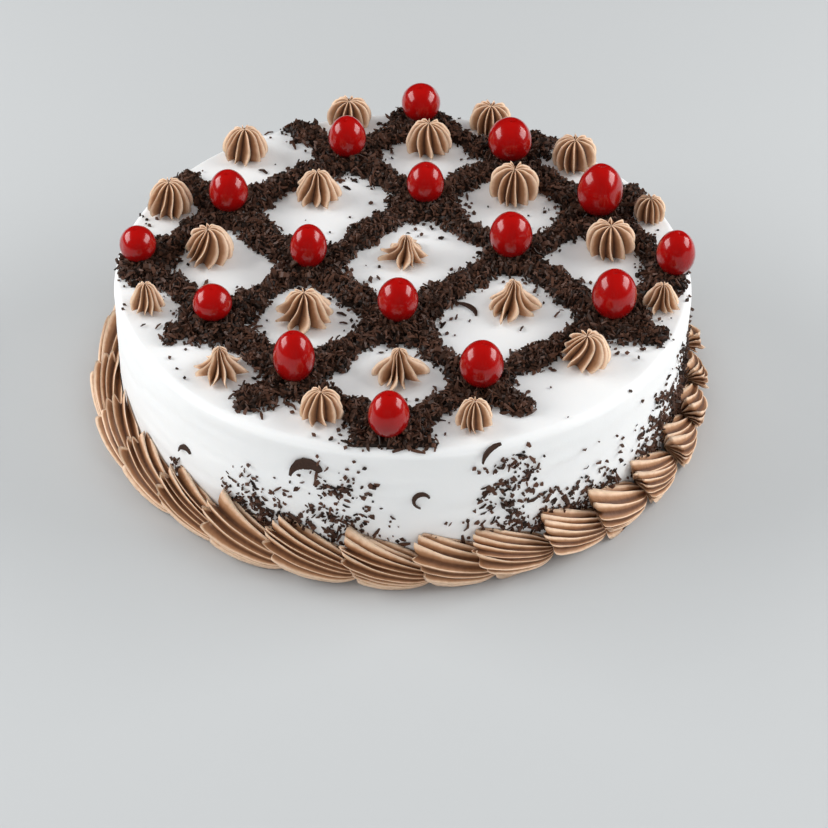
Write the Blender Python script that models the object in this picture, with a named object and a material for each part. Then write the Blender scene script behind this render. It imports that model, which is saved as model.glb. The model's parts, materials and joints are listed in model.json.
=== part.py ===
"""Black forest cake: a whole round cake coated in white cream, with no plate or board.

A rope of piped shells runs round its foot. On top, grated chocolate lies in a lattice of
four lines each way, turned 45 degrees; a cherry sits on each crossing and a piped rosette
in each opening of the lattice.

Units are metres. The origin is the middle of the cake's flat bottom, +Z is up and -Y is the
front. Lattice places are given as (u, v): u is measured across the lines that run up to the
right, v across the lines that run down to the right.
"""

import math
import random

import bmesh
import bpy
from mathutils import Matrix, Vector

# The cake
CAKE_RADIUS = 0.1075
CAKE_HEIGHT = 0.056
EDGE_ROUND = 0.003
EDGE_STEPS = 2
CAKE_SEGMENTS = 48
CLEARANCE = 0.0003  # kept between two pieces that touch

# The piped border round its foot
SHELLS = 32
SHELL_DEPTH = 0.0112  # how far a shell's head stands out from the wall
SHELL_TOP = 0.0212
SHELL_STRETCH = math.radians(7.0)  # shells are piped a little longer on one side
STRETCH_SIDE = math.radians(-120.0)
# (place along a shell, size there), from under its head to the end of its tail
SHELL_STATIONS = ((0.0, 0.70), (0.10, 0.95), (0.36, 1.0), (0.70, 0.86))
SECTION_ANGLES = (62.0, 36.0, 10.0, -16.0, -38.0)  # ridge, groove, ridge ... down the section
SECTION_GROOVE = 0.84
SECTION_FOOT_ANGLE = math.radians(-56.0)

# The chocolate lattice
# (u, v) of each crossing, by line of v, then line of u. The lines are laid by hand, so they bend
CROSSINGS = (
    ((-0.0697, -0.0693), (-0.0237, -0.0728), (0.0228, -0.0758), (0.0668, -0.0728)),
    ((-0.0712, -0.0233), (-0.0232, -0.0263), (0.0228, -0.0253), (0.0698, -0.0308)),
    ((-0.0672, 0.0352), (-0.0237, 0.0352), (0.0238, 0.0327), (0.0758, 0.0317)),
    ((-0.0657, 0.0747), (-0.0212, 0.0797), (0.0288, 0.0767), (0.0738, 0.0682)),
)
LATTICE_REACH = 0.1035  # the chocolate stops here, just inside the rounded edge
LINE_WIDTH = 0.0125
LINE_HEIGHT = 0.0034
LINE_STATIONS = 9
HEAP_RADIUS = 0.0135  # the wider heap at each crossing
HEAP_HEIGHT = 0.0042
HEAP_SIDES = 8

# Cherries, one on each crossing: (width, height) by line of v, then line of u
CHERRY_SIZES = (
    ((0.0136, 0.0140), (0.0142, 0.0134), (0.0147, 0.0200), (0.0142, 0.0172)),
    ((0.0150, 0.0170), (0.0137, 0.0174), (0.0148, 0.0168), (0.0155, 0.0176)),
    ((0.0149, 0.0174), (0.0144, 0.0166), (0.0161, 0.0180), (0.0163, 0.0196)),
    ((0.0157, 0.0160), (0.0172, 0.0178), (0.0176, 0.0216), (0.0145, 0.0180)),
)
CHERRY_REACH = 0.1010  # an outer cherry is pulled in, to stay on the cake
CHERRY_SEAT = 0.0012  # crushed chocolate under a cherry
CHERRY_SIDES = 10
CHERRY_RINGS = 6

# Rosettes: (x, y, radius, height, twist in degrees, flare), where flare is 0 for a dome and 1 for
# an open star whose ridges spread at the foot. First the nine in the lattice's openings, by line
# of v, then line of u; then those round the rim
ROSETTES = (
    (-0.0725, 0.0045, 0.0100, 0.0130, 30, 0.3),
    (-0.0355, -0.0330, 0.0115, 0.0122, 25, 0.8),
    (-0.0010, -0.0650, 0.0110, 0.0118, -12, 1.0),
    (-0.0335, 0.0445, 0.0098, 0.0124, 20, 0.4),
    (0.0010, 0.0050, 0.0098, 0.0104, 18, 1.0),
    (0.0400, -0.0250, 0.0113, 0.0124, 34, 0.9),
    (0.0095, 0.0800, 0.0100, 0.0124, -8, 0.0),
    (0.0425, 0.0470, 0.0101, 0.0132, 6, 0.0),
    (0.0775, 0.0115, 0.0097, 0.0122, -5, 0.0),
    (-0.0930, -0.0275, 0.0071, 0.0112, 10, 0.1),
    (-0.0635, -0.0655, 0.0096, 0.0118, -14, 1.0),
    (-0.0275, -0.0875, 0.0084, 0.0106, 4, 0.6),
    (0.0345, 0.0945, 0.0087, 0.0118, 8, 0.0),
    (0.0670, 0.0695, 0.0094, 0.0124, -4, 0.0),
    (0.0940, 0.0330, 0.0064, 0.0098, 0, 0.0),
    (-0.0895, 0.0350, 0.0096, 0.0132, 12, 0.0),
    (-0.0630, 0.0730, 0.0094, 0.0130, 14, 0.0),
    (-0.0225, 0.0970, 0.0090, 0.0116, 10, 0.0),
    (0.0250, -0.0915, 0.0069, 0.0104, -4, 0.2),
    (0.0650, -0.0555, 0.0097, 0.0114, 48, 0.4),
    (0.0945, -0.0225, 0.0073, 0.0098, 6, 0.3),
)
ROSETTE_FINS = 10
ROSETTE_GROOVE = 0.68  # a groove's radius over a ridge's

Z_TOP = CAKE_HEIGHT + CLEARANCE


def clear_scene():
    for old in list(bpy.data.objects):
        bpy.data.objects.remove(old, do_unlink=True)


def material(name, colour, roughness):
    made = bpy.data.materials.new(name)
    made.use_nodes = True
    shader = made.node_tree.nodes["Principled BSDF"]
    shader.inputs["Base Color"].default_value = (*colour, 1.0)
    shader.inputs["Roughness"].default_value = roughness
    shader.inputs["Metallic"].default_value = 0.0
    return made


def make_object(name, bm, finish, place=(0.0, 0.0, 0.0), turn=0.0):
    """Turns a bmesh into a named object, smooth but for its sharp ridges."""
    bmesh.ops.recalc_face_normals(bm, faces=bm.faces)
    mesh = bpy.data.meshes.new(name)
    bm.to_mesh(mesh)
    bm.free()
    mesh.materials.append(finish)
    mesh.shade_smooth()
    mesh.set_sharp_from_angle(angle=math.radians(40))
    made = bpy.data.objects.new(name, mesh)
    made.location = place
    made.rotation_euler.z = turn
    bpy.context.collection.objects.link(made)
    return made


def hide_tool(tool):
    tool.hide_render = True
    tool.display_type = "WIRE"


def boolean(target, operation, tool):
    """Puts a Boolean on target and keeps the tool out of the render."""
    hide_tool(tool)
    cut = target.modifiers.new(f"{operation}_{tool.name}", "BOOLEAN")
    cut.operation = operation
    cut.solver = "EXACT"
    cut.object = tool


def lattice_point(u, v, z):
    """A place on the cake's top, from its distances across the two sets of lines."""
    return Vector(((u + v) * math.sqrt(0.5), (v - u) * math.sqrt(0.5), z))


def loft(bm, rings, apex=None):
    """Skins closed rings from the bottom up, with a flat bottom and an apex or a flat top."""
    loops = [[bm.verts.new(p) for p in ring] for ring in rings]
    sides = len(loops[0])
    for low, high in zip(loops, loops[1:]):
        for k in range(sides):
            n = (k + 1) % sides
            bm.faces.new((low[k], low[n], high[n], high[k]))
    bm.faces.new(loops[0])
    if apex is None:
        bm.faces.new(loops[-1])
        return
    tip = bm.verts.new(apex)
    for k in range(sides):
        bm.faces.new((loops[-1][k], loops[-1][(k + 1) % sides], tip))


# ---- the cake ---------------------------------------------------------------------------


def build_cake(finish):
    """A plain drum of sponge and cream, its upper rim rounded by the palette knife."""
    bm = bmesh.new()
    bmesh.ops.create_cone(
        bm,
        cap_ends=True,
        segments=CAKE_SEGMENTS,
        radius1=CAKE_RADIUS,
        radius2=CAKE_RADIUS,
        depth=CAKE_HEIGHT,
        matrix=Matrix.Translation((0, 0, CAKE_HEIGHT / 2)),
    )
    rim = [
        e
        for e in bm.edges
        if all(v.co.z > CAKE_HEIGHT - CLEARANCE for v in e.verts)
    ]
    bmesh.ops.bevel(bm, geom=rim, offset=EDGE_ROUND, segments=EDGE_STEPS, profile=0.5, affect="EDGES")
    return make_object("cream_cake", bm, finish)


# ---- the piped border --------------------------------------------------------------------


def shell_angle(shells_along):
    """The angle round the cake of a place along the rope, counted in shells."""
    even = 2 * math.pi * shells_along / SHELLS
    return even + SHELL_STRETCH * math.sin(even - STRETCH_SIDE)


def border_section(angle, swell):
    """The outline of the rope across its length: flat on the wall and on the table."""
    inner = CAKE_RADIUS + CLEARANCE
    middle = (SHELL_TOP - SHELL_DEPTH) * swell
    depth = SHELL_DEPTH * swell
    outline = [(inner, 0.0), (inner, middle + depth)]
    for k, degrees in enumerate(SECTION_ANGLES):
        reach = depth * (SECTION_GROOVE if k % 2 else 1.0)
        slope = math.radians(degrees)
        outline.append((inner + reach * math.cos(slope), middle + reach * math.sin(slope)))
    outline.append((inner + depth * math.cos(SECTION_FOOT_ANGLE), 0.0))
    return [Vector((r * math.cos(angle), r * math.sin(angle), z)) for r, z in outline]


def build_border(finish):
    """One rope of shells: each has a full head and tapers to a tail under the next head."""
    bm = bmesh.new()
    loops = []
    for shell in range(SHELLS):
        for along, swell in SHELL_STATIONS:
            angle = shell_angle(shell + along)
            loops.append([bm.verts.new(p) for p in border_section(angle, swell)])
    for k, here in enumerate(loops):
        ahead = loops[(k + 1) % len(loops)]
        for m in range(len(here)):
            n = (m + 1) % len(here)
            bm.faces.new((here[m], ahead[m], ahead[n], here[n]))
    return make_object("shell_border", bm, finish)


# ---- cherries -------------------------------------------------------------------------------


def cherry_seats(z):
    """(place, width, height) of each cherry. A crossing too far out has its cherry pulled in."""
    for crossings, sizes in zip(CROSSINGS, CHERRY_SIZES):
        for (u, v), (width, height) in zip(crossings, sizes):
            place = lattice_point(u, v, 0.0)
            if place.length > CHERRY_REACH:
                place *= CHERRY_REACH / place.length
            place.z = z
            yield place, width, height


def cherry_bmesh(width, height, spare=0.0):
    """An egg a little fuller below its middle, standing on z = 0. spare makes it larger."""
    bm = bmesh.new()
    bmesh.ops.create_uvsphere(
        bm, u_segments=CHERRY_SIDES, v_segments=CHERRY_RINGS, radius=1.0
    )
    for vert in bm.verts:
        fuller = 1.0 - 0.10 * vert.co.z
        vert.co.x *= (width / 2 + spare) * fuller
        vert.co.y *= (width / 2 + spare) * fuller
        vert.co.z = height / 2 + vert.co.z * (height / 2 + spare)
    return bm


def build_cherries(finish):
    seats = cherry_seats(Z_TOP + CHERRY_SEAT)
    for number, (place, width, height) in enumerate(seats, 1):
        make_object(f"cherry_{number:02d}", cherry_bmesh(width, height), finish, place)


# ---- rosettes -------------------------------------------------------------------------------


def rosette_profile(flare):
    """(radius, height) of the ridges from foot to tip, both as a share of the rosette's."""
    dome = ((0.92, 0.0), (1.0, 0.24), (0.84, 0.62), (0.42, 0.90))
    star = ((0.97, 0.0), (1.0, 0.16), (0.66, 0.46), (0.30, 0.82))
    return [
        tuple(d + (s - d) * flare for d, s in zip(low, high))
        for low, high in zip(dome, star)
    ]


def rosette_bmesh(radius, height, twist, flare):
    """A drop of cream with sharp ridges that turn as they rise to the tip."""
    bm = bmesh.new()
    rings = []
    for across, up in rosette_profile(flare):
        ring = []
        for k in range(2 * ROSETTE_FINS):
            angle = math.pi * k / ROSETTE_FINS + math.radians(twist) * up
            reach = radius * across * (ROSETTE_GROOVE if k % 2 else 1.0)
            ring.append((reach * math.cos(angle), reach * math.sin(angle), height * up))
        rings.append(ring)
    loft(bm, rings, apex=(0.0, 0.0, height))
    return bm


def build_rosettes(finish):
    """One rosette in each opening of the lattice, then those round the rim."""
    made = []
    for number, (x, y, *size) in enumerate(ROSETTES, 1):
        shape = rosette_bmesh(*size)
        made.append(make_object(f"rosette_{number:02d}", shape, finish, (x, y, Z_TOP)))
    return made


# ---- the chocolate lattice -------------------------------------------------------------------


def line_route(crossings, across):
    """A line's corners: its crossings, and a point past the rim at each end.

    across is 0 for a line of u and 1 for a line of v.
    """
    route = [lattice_point(u, v, 0.0) for u, v in crossings]
    for end, side in ((0, -1), (-1, 1)):
        offset = crossings[end][across]
        out = side * math.sqrt(CAKE_RADIUS**2 - offset**2)
        past = (out, offset) if across else (offset, out)
        route.insert(0 if side < 0 else len(route), lattice_point(*past, 0.0))
    return route


def walk(route, share):
    """The place and the heading at a share of the way along a route."""
    steps = [b - a for a, b in zip(route, route[1:])]
    left = share * sum(step.length for step in steps)
    for start, step in zip(route, steps):
        if left <= step.length or step is steps[-1]:
            break
        left -= step.length
    return start + step.normalized() * min(left, step.length), step.normalized()


def line_bmesh(route, draw):
    """A low bank of grated chocolate along a route, its width and height uneven."""
    bm = bmesh.new()
    rings = []
    for k in range(LINE_STATIONS):
        middle, ahead = walk(route, k / (LINE_STATIONS - 1))
        aside = Vector((-ahead.y, ahead.x, 0.0))
        left = LINE_WIDTH / 2 * draw.uniform(0.86, 1.14)
        right = LINE_WIDTH / 2 * draw.uniform(0.86, 1.14)
        high = Vector((0.0, 0.0, LINE_HEIGHT * draw.uniform(0.88, 1.12)))
        rings.append(
            [
                middle - aside * left,
                middle + aside * right,
                middle + aside * right * 0.5 + high,
                middle - aside * left * 0.5 + high,
            ]
        )
    loft(bm, rings)
    return bm


def heap_bmesh(draw):
    """The wider heap that a cherry is set in."""
    bm = bmesh.new()
    spread = [HEAP_RADIUS * draw.uniform(0.9, 1.1) for _ in range(HEAP_SIDES)]
    rings = []
    for share, high in ((1.0, 0.0), (0.72, HEAP_HEIGHT)):
        ring = []
        for k, reach in enumerate(spread):
            angle = 2 * math.pi * k / HEAP_SIDES
            ring.append((reach * share * math.cos(angle), reach * share * math.sin(angle), high))
        rings.append(ring)
    loft(bm, rings)
    return bm


def drum_bmesh(radius, sides):
    """An upright drum that trims the chocolate, or clears it away."""
    bm = bmesh.new()
    bmesh.ops.create_cone(
        bm,
        cap_ends=True,
        segments=sides,
        radius1=radius,
        radius2=radius,
        depth=4 * HEAP_HEIGHT,
    )
    return bm


def lattice_banks(finish, draw):
    """The eight lines, each from rim to rim."""
    banks = []
    for family, across, lines in (("u", 0, zip(*CROSSINGS)), ("v", 1, CROSSINGS)):
        for number, crossings in enumerate(lines, 1):
            shape = line_bmesh(line_route(crossings, across), draw)
            name = f"bank_{family}{number}"
            banks.append(make_object(name, shape, finish, (0.0, 0.0, Z_TOP)))
    return banks


def build_lattice(finish, rosettes):
    """Eight lines and sixteen heaps joined to one piece, with a pocket for each cherry."""
    draw = random.Random(7)
    lattice, *others = lattice_banks(finish, draw)
    lattice.name = "chocolate_lattice"
    for place, _, _ in cherry_seats(Z_TOP):
        others.append(make_object("heap", heap_bmesh(draw), finish, place))
    for other in others:
        boolean(lattice, "UNION", other)
    trim = make_object("trim", drum_bmesh(LATTICE_REACH, CAKE_SEGMENTS), finish, (0, 0, Z_TOP))
    boolean(lattice, "INTERSECT", trim)
    for place, width, height in cherry_seats(Z_TOP + CHERRY_SEAT):
        shape = cherry_bmesh(width, height, spare=CLEARANCE)
        boolean(lattice, "DIFFERENCE", make_object("pocket", shape, finish, place))
    for rosette in rosettes:
        radius = max(vert.co.xy.length for vert in rosette.data.vertices)
        shape = drum_bmesh(radius + CLEARANCE, 2 * ROSETTE_FINS)
        boolean(lattice, "DIFFERENCE", make_object("room", shape, finish, rosette.location))


def main():
    clear_scene()
    cream = material("white_cream", (0.90, 0.90, 0.88), 0.55)
    piped = material("chocolate_cream", (0.36, 0.21, 0.14), 0.60)
    chocolate = material("grated_chocolate", (0.035, 0.018, 0.013), 0.45)
    glaze = material("glazed_cherry", (0.45, 0.008, 0.012), 0.12)
    build_cake(cream)
    build_border(piped)
    rosettes = build_rosettes(piped)
    build_cherries(glaze)
    build_lattice(chocolate, rosettes)


main()
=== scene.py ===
"""The looks of a black forest cake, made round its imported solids.

The cake's solids give every place and size: the drum of cream, the piped border, the
rosettes, the cherries and the lattice of grated chocolate. Each class below makes one of
these in its real form, in metres, with +Z up and -Y the front.
"""

import json
import logging
import math
import random
from dataclasses import dataclass, field
from enum import Enum
from typing import Any, Sequence, Union

import bmesh
import bpy
import numpy as np
from mathutils import Euler, Matrix, Vector

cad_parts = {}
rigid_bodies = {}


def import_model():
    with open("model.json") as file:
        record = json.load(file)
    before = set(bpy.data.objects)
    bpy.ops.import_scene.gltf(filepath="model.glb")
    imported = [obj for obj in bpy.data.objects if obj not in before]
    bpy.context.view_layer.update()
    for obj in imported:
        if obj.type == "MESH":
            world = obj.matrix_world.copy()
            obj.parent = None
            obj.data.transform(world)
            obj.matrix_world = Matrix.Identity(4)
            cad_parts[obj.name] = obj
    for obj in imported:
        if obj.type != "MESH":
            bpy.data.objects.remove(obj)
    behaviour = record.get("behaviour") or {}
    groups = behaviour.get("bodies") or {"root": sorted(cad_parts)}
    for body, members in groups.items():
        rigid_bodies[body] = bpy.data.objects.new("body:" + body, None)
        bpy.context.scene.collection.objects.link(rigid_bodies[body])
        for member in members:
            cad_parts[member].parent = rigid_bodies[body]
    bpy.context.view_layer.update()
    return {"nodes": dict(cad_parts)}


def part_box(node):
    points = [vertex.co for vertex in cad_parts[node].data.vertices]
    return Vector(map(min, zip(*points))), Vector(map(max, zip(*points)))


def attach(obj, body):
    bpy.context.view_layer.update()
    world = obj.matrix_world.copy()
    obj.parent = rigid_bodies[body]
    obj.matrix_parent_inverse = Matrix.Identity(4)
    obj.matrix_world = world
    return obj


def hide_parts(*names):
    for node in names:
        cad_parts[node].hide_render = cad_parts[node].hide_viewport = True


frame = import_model()

MM = 0.001
TURN = 2 * math.pi
WELD = 0.004 * MM
CURL_STEPS = 10
BODY = "root"
LOG = logging.getLogger("cake")

Colour = tuple[float, float, float]
Place = tuple[float, float, float]
Shape = tuple[list, list]
Feed = Union["Field", bpy.types.NodeSocket, float, int, bool, tuple, str, Any]
Feeds = Union[dict[str, Feed], None]


# ---- node trees ----


class Field:
    """What a node gives: a number at every point, or a shape. Formulas read as formulas."""

    def __init__(self, wiring: "Wiring", socket: bpy.types.NodeSocket) -> None:
        """Wraps an output socket.

        Args:
            wiring: The tree's builder.
            socket: The output.
        """
        self.wiring = wiring
        self.socket = socket

    def calculate(self, operation: str, *values: Feed) -> "Field":
        """Adds one Math node.

        Args:
            operation: The node's operation.
            values: What goes into its sockets, in order.

        Returns:
            The node's result.
        """
        node = self.wiring.tree.nodes.new("ShaderNodeMath")
        node.operation = operation
        for socket, value in zip(node.inputs, values):
            self.wiring.feed(socket, value)
        return Field(self.wiring, node.outputs[0])

    def __add__(self, other: Feed) -> "Field":
        """self + other."""
        return self.calculate("ADD", self, other)

    def __sub__(self, other: Feed) -> "Field":
        """self - other."""
        return self.calculate("SUBTRACT", self, other)

    def __rsub__(self, other: Feed) -> "Field":
        """other - self."""
        return self.calculate("SUBTRACT", other, self)

    def __mul__(self, other: Feed) -> "Field":
        """self * other."""
        return self.calculate("MULTIPLY", self, other)

    def __truediv__(self, other: Feed) -> "Field":
        """self / other."""
        return self.calculate("DIVIDE", self, other)

    def __pow__(self, other: Feed) -> "Field":
        """self ** other."""
        return self.calculate("POWER", self, other)

    __radd__ = __add__
    __rmul__ = __mul__

    def sin(self) -> "Field":
        """The sine."""
        return self.calculate("SINE", self)

    def cos(self) -> "Field":
        """The cosine."""
        return self.calculate("COSINE", self)

    def size(self) -> "Field":
        """The number without its sign."""
        return self.calculate("ABSOLUTE", self)

    def fraction(self) -> "Field":
        """What is left after the whole number is taken off."""
        return self.calculate("FRACT", self)

    def whole(self) -> "Field":
        """The whole number at or below it."""
        return self.calculate("FLOOR", self)

    def remainder(self, divisor: Feed) -> "Field":
        """What is left after the divisor is taken off as often as it goes."""
        return self.calculate("FLOORED_MODULO", self, divisor)

    def above(self, limit: Feed) -> "Field":
        """1 where the number is over the limit, and 0 elsewhere."""
        return self.calculate("GREATER_THAN", self, limit)

    def at_least(self, limit: Feed) -> "Field":
        """The larger of the number and the limit."""
        return self.calculate("MAXIMUM", self, limit)

    def mix(self, other: "Field", share: "Field") -> "Field":
        """Goes from self to other as share goes from 0 to 1."""
        return self + (other - self) * share


class Wiring:
    """Adds nodes to a tree and feeds them numbers, sockets or fields."""

    def __init__(self, tree: bpy.types.NodeTree) -> None:
        """Works on the tree given."""
        self.tree = tree

    def feed(self, socket: bpy.types.NodeSocket, value: Feed) -> None:
        """Links or sets one input.

        Args:
            socket: The input.
            value: A field or socket to link, or a constant to set.
        """
        if isinstance(value, Field):
            self.tree.links.new(value.socket, socket)
        elif isinstance(value, bpy.types.NodeSocket):
            self.tree.links.new(value, socket)
        else:
            socket.default_value = value

    def step(self, kind: str, feeds: Feeds = None, **settings: Any) -> bpy.types.Node:
        """Adds a node.

        Args:
            kind: The node's type.
            feeds: What goes into its inputs, by their names.
            settings: The node's own properties.

        Returns:
            The node.
        """
        node = self.tree.nodes.new(kind)
        for name, value in settings.items():
            setattr(node, name, value)
        for name, value in (feeds or {}).items():
            self.feed(next(s for s in node.inputs if s.name == name and s.enabled), value)
        return node

    def value(self, kind: str, feeds: Feeds = None, **settings: Any) -> Field:
        """Adds a node as step does, and returns its first open output as a field."""
        node = self.step(kind, feeds, **settings)
        return Field(self, next(s for s in node.outputs if s.enabled))

    def curve(self, along: Field, points: Sequence[tuple[float, float]]) -> Field:
        """A smooth curve through points, read at along.

        Args:
            along: Where the curve is read.
            points: (place, value), with the places from 0 to 1 in rising order.

        Returns:
            The curve's value there.
        """
        low = min(value for _, value in points)
        span = max(value for _, value in points) - low
        node = self.tree.nodes.new("ShaderNodeFloatCurve")
        line = node.mapping.curves[0]
        while len(line.points) < len(points):
            line.points.new(0.5, 0.5)
        for point, (place, value) in zip(line.points, points):
            point.location = (place, (value - low) / span)
        node.mapping.update()
        self.feed(node.inputs["Value"], along)
        return Field(self, node.outputs[0]) * span + low


class Recipe(Wiring):
    """A Geometry Nodes tree with named sizes, which makes plain meshes."""

    def __init__(self, name: str) -> None:
        """Starts an empty tree.

        Args:
            name: The tree's name.
        """
        super().__init__(bpy.data.node_groups.new(name, "GeometryNodeTree"))
        for way in ("INPUT", "OUTPUT"):
            self.tree.interface.new_socket(
                name="Geometry", in_out=way, socket_type="NodeSocketGeometry"
            )
        self.entry = self.tree.nodes.new("NodeGroupInput")
        self.keys: dict[str, str] = {}

    def ask(self, name: str, kind: str = "Float") -> Field:
        """Adds a named input.

        Args:
            name: The input's name.
            kind: Its type, such as Float, Int, Collection or Material.

        Returns:
            The input as a field.
        """
        socket = self.tree.interface.new_socket(
            name=name, in_out="INPUT", socket_type=f"NodeSocket{kind}"
        )
        self.keys[name] = socket.identifier
        return Field(self, self.entry.outputs[name])

    def grid(self, columns: Field, rows: Field) -> tuple[Field, Field, Field]:
        """A flat sheet whose points are then put in place.

        Args:
            columns: How many strips it has across.
            rows: How many strips it has along.

        Returns:
            The sheet, and how far across and along it a point lies, from 0 to 1.
        """
        sheet = self.value(
            "GeometryNodeMeshGrid",
            {"Size X": 1.0, "Size Y": 1.0, "Vertices X": columns + 1.0, "Vertices Y": rows + 1.0},
        )
        x, y, _ = self.split(self.value("GeometryNodeInputPosition"))
        return sheet, x + 0.5, y + 0.5

    def split(self, vector: Feed) -> tuple[Field, Field, Field]:
        """The X, Y and Z of a vector."""
        node = self.step("ShaderNodeSeparateXYZ", {"Vector": vector})
        return tuple(Field(self, socket) for socket in node.outputs)

    def join(self, x: Feed, y: Feed, z: Feed) -> Field:
        """A vector from its X, Y and Z."""
        return self.value("ShaderNodeCombineXYZ", {"X": x, "Y": y, "Z": z})

    def keep(self, geometry: Feed, name: str, value: Feed, domain: str = "POINT") -> Field:
        """Stores a number on the geometry, for its material or a later step.

        Args:
            geometry: What the number is stored on.
            name: The attribute's name.
            value: The number.
            domain: Where it is stored.

        Returns:
            The geometry with the number on it.
        """
        feeds = {"Geometry": geometry, "Name": name, "Value": value}
        kind = "GeometryNodeStoreNamedAttribute"
        return self.value(kind, feeds, data_type="FLOAT", domain=domain)

    def recall(self, name: Feed) -> Field:
        """A number that the geometry carries under this name."""
        return self.value("GeometryNodeInputNamedAttribute", {"Name": name}, data_type="FLOAT")

    def draw(self, low: Feed, high: Feed, key: Feed | None, which: Feed) -> Field:
        """Draws a random number for each point or copy.

        Args:
            low: The least that it can be.
            high: The most that it can be.
            key: Points with the same key get the same number. None gives each its own.
            which: Which number it is, so that two draws differ.

        Returns:
            The number.
        """
        feeds = {"Min": low, "Max": high, "Seed": which}
        if key is not None:
            feeds["ID"] = key
        return self.value("FunctionNodeRandomValue", feeds, data_type="FLOAT")

    def skin(self, sheet: Feed, position: Feed) -> Field:
        """Puts a sheet's points in place and welds its seam and its poles.

        Args:
            sheet: The flat sheet.
            position: Where each point goes.

        Returns:
            The closed, smoothly shaded surface.
        """
        placed = self.value("GeometryNodeSetPosition", {"Geometry": sheet, "Position": position})
        welded = self.value("GeometryNodeMergeByDistance", {"Geometry": placed, "Distance": WELD})
        return self.value("GeometryNodeSetShadeSmooth", {"Geometry": welded})

    def end(self, geometry: Feed, material: bpy.types.Material) -> None:
        """Ends the tree: real copies, one material, and out.

        Args:
            geometry: The finished shape.
            material: What it is made of.
        """
        real = self.value("GeometryNodeRealizeInstances", {"Geometry": geometry})
        dressed = self.value("GeometryNodeSetMaterial", {"Geometry": real, "Material": material})
        self.step("NodeGroupOutput", {"Geometry": dressed})

    def make(
        self, name: str, sizes: dict[str, Any], base: bpy.types.Mesh | None = None
    ) -> bpy.types.Object:
        """Runs the tree once and keeps its result as a plain mesh.

        Args:
            name: The new object's name.
            sizes: A value for each named input.
            base: The mesh that the tree starts from, if it needs one.

        Returns:
            The object, with no modifier left on it.
        """
        made = in_scene(name, base or bpy.data.meshes.new(name))
        modifier = made.modifiers.new("recipe", "NODES")
        modifier.node_group = self.tree
        for size, value in sizes.items():
            modifier[self.keys[size]] = value
        graph = bpy.context.evaluated_depsgraph_get()
        mesh = bpy.data.meshes.new_from_object(made.evaluated_get(graph))
        made.modifiers.clear()
        made.data = mesh
        mesh.name = name
        return made


# ---- finishes ----


class Dye(Wiring):
    """A material under construction."""

    def __init__(self, name: str, colour: Colour, roughness: float) -> None:
        """Starts a material with one shader.

        Args:
            name: The material's name.
            colour: Its base colour.
            roughness: How dull it is.
        """
        self.material = bpy.data.materials.new(name)
        self.material.use_nodes = True
        super().__init__(self.material.node_tree)
        self.shader = self.tree.nodes["Principled BSDF"]
        self.constants({"Base Color": (*colour, 1.0), "Roughness": roughness})

    def constants(self, values: dict[str, Feed]) -> None:
        """Sets values that are the same all over on the shader's own sockets."""
        for name, value in values.items():
            self.shader.inputs[name].default_value = value

    def soften(self, weight: float, depth: float, colour: Colour) -> None:
        """Lets light in.

        Args:
            weight: The share of the light that goes in.
            depth: How far it goes, in metres.
            colour: How far red, green and blue go, against that depth.
        """
        self.constants(
            {"Subsurface Weight": weight, "Subsurface Scale": depth, "Subsurface Radius": colour}
        )

    def paint(self, colour: Feed) -> None:
        """Feeds the base colour."""
        self.feed(self.shader.inputs["Base Color"], colour)

    def attribute(self, name: str) -> Field:
        """A number that the mesh carries at each point."""
        node = self.step("ShaderNodeAttribute", attribute_name=name)
        return Field(self, node.outputs["Fac"])

    def place(self) -> bpy.types.NodeSocket:
        """The point's place in the object's own space."""
        return self.step("ShaderNodeTexCoord").outputs["Object"]

    def grain(self, size: float, detail: float = 2.0, stretch: Colour = (1, 1, 1)) -> Field:
        """Soft noise from 0 to 1.

        Args:
            size: The size of its patches, in metres.
            detail: How many finer layers it has.
            stretch: How much the pattern is squeezed along X, Y and Z.

        Returns:
            The noise.
        """
        place = self.value("ShaderNodeMapping", {"Vector": self.place(), "Scale": stretch})
        return self.value("ShaderNodeTexNoise", {"Vector": place, "Scale": 1 / size, "Detail": detail})

    def pores(self, size: float) -> Field:
        """Distance to the nearest of many small scattered points, in cells.

        Args:
            size: How far apart the points are, in metres.

        Returns:
            0 at a point, rising to about 1 between points.
        """
        return self.value("ShaderNodeTexVoronoi", {"Vector": self.place(), "Scale": 1 / size})

    def blend(self, share: Feed, low: Colour, high: Colour) -> Field:
        """Mixes two colours.

        Args:
            share: How much of the second one there is, from 0 to 1.
            low: The first colour.
            high: The second colour.

        Returns:
            The mixed colour.
        """
        node = self.step("ShaderNodeMix", data_type="RGBA")
        self.feed(node.inputs["Factor"], share)
        for socket, colour in zip([s for s in node.inputs if s.type == "RGBA"], (low, high)):
            socket.default_value = (*colour, 1.0)
        return Field(self, next(s for s in node.outputs if s.enabled and s.type == "RGBA"))

    def bump(
        self, height: Field, depth: float, under: bpy.types.Node | None = None
    ) -> bpy.types.Node:
        """Fine relief, too small to be in the mesh.

        Args:
            height: The relief, from 0 to 1.
            depth: How deep it is, in metres.
            under: Relief that this one lies on.

        Returns:
            The node, whose output goes to the shader or to the next bump.
        """
        node = self.step("ShaderNodeBump", {"Height": height, "Distance": depth, "Strength": 1.0})
        if under is not None:
            self.feed(node.inputs["Normal"], under.outputs[0])
        self.feed(self.shader.inputs["Normal"], node.outputs[0])
        return node


@dataclass(frozen=True)
class Finish:
    """What every finish has: the record's slot, a base colour and how dull it is."""

    slot: str
    colour: Colour
    roughness: float

    def dress(self, dye: Dye) -> None:
        """Adds this finish's own detail to the material. A plain finish adds none."""

    def make(self) -> bpy.types.Material:
        """Builds the material.

        Returns:
            The material, named after its slot.
        """
        dye = Dye(self.slot, self.colour, self.roughness)
        self.dress(dye)
        return dye.material


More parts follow.
